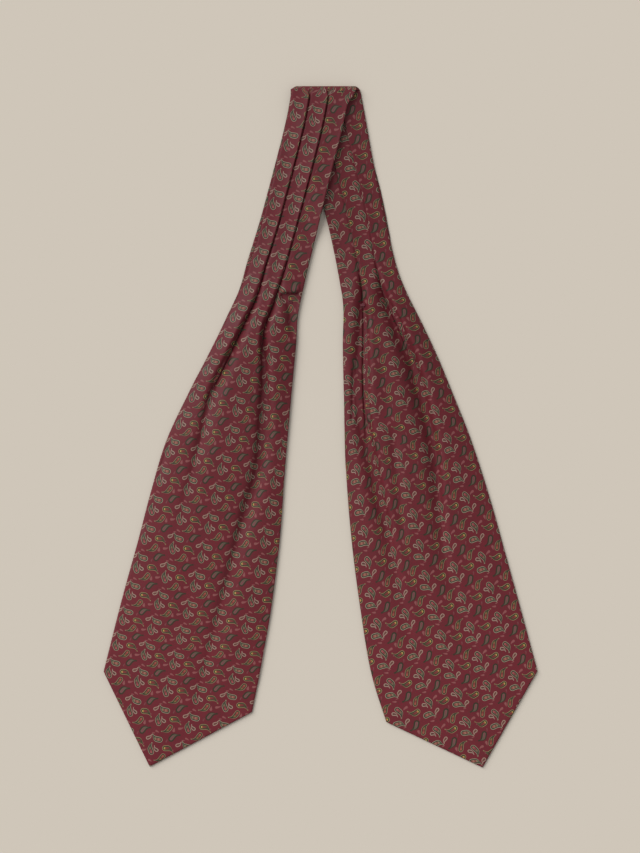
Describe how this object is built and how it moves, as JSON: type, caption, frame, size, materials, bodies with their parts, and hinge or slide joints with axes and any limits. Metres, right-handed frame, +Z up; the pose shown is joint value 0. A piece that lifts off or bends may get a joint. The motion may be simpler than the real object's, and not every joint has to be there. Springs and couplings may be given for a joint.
{
  "type": "silk cravat",
  "caption": "Printed silk day cravat with a pleated neckband and wide pointed blades, folded at the centre back and laid flat with one leg crossed over the other.",
  "frame": {"origin": "middle of the laid cravat's outline, on the surface it rests on", "axes": "+X across to the right leg's side, +Y from the pointed blades to the top fold, +Z up from the surface"},
  "size_m": [0.3908, 0.6134, 0.0087],
  "materials": {
    "printed_silk": "fine silk twill with a soft sheen, burgundy with a small paisley print"
  },
  "bodies": {
    "root": {"left_front_panel": "printed_silk", "left_back_panel": "printed_silk", "right_back_panel": "printed_silk", "right_front_panel": "printed_silk"}
  },
  "joints": []
}
